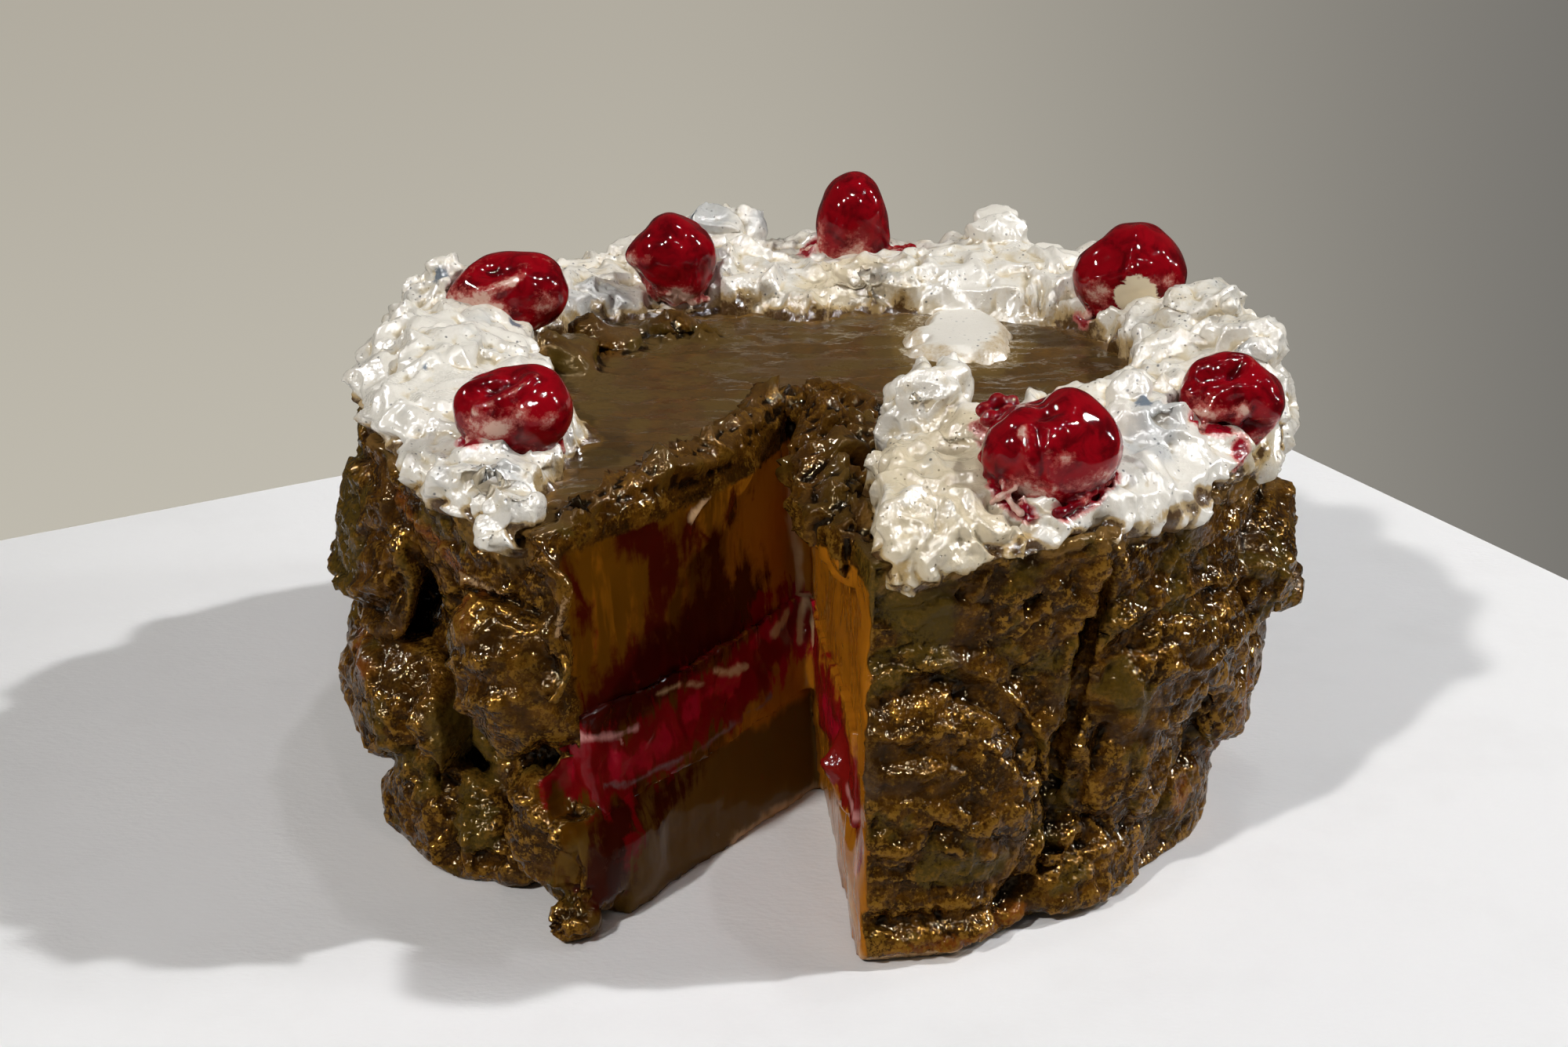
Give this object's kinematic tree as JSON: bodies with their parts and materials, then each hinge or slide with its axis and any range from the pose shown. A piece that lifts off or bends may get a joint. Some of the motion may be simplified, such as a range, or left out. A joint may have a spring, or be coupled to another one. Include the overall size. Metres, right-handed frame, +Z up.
{
  "type": "glazed ceramic black forest cake with a wedge cut out",
  "caption": "Hand-built ceramic cake with a wedge cut out: clumped brown body, red layer at the cut, smeared cream ring and glossy cherries on top.",
  "frame": {"origin": "centre of the flat underside, on the floor", "axes": "+Z up from the underside, -Y towards the open side of the wedge, +X to the right when facing the wedge"},
  "size_m": [0.2065, 0.2049, 0.1063],
  "materials": {
    "brown_glaze": "glossy dark umber glaze with golden brown crystals, olive pools and amber cut walls",
    "cherry_layer_glaze": "wet-looking deep red glaze with maroon depths and pale broken edges",
    "cream_glaze": "satin white glaze over a clay smear, with grey-blue specks and brown-yellow thin edges",
    "cherry_glaze": "high-gloss crimson glaze, worn to pink where it is thin"
  },
  "bodies": {
    "root": {"cake_body": "brown_glaze", "cherry_layer": "cherry_layer_glaze", "cream_ring": "cream_glaze", "cherry_front_left": "cherry_glaze", "cherry_back_left": "cherry_glaze", "cherry_left_of_back": "cherry_glaze", "cherry_back": "cherry_glaze", "cherry_back_right": "cherry_glaze", "cherry_right": "cherry_glaze", "cherry_front_right": "cherry_glaze"}
  },
  "joints": []
}
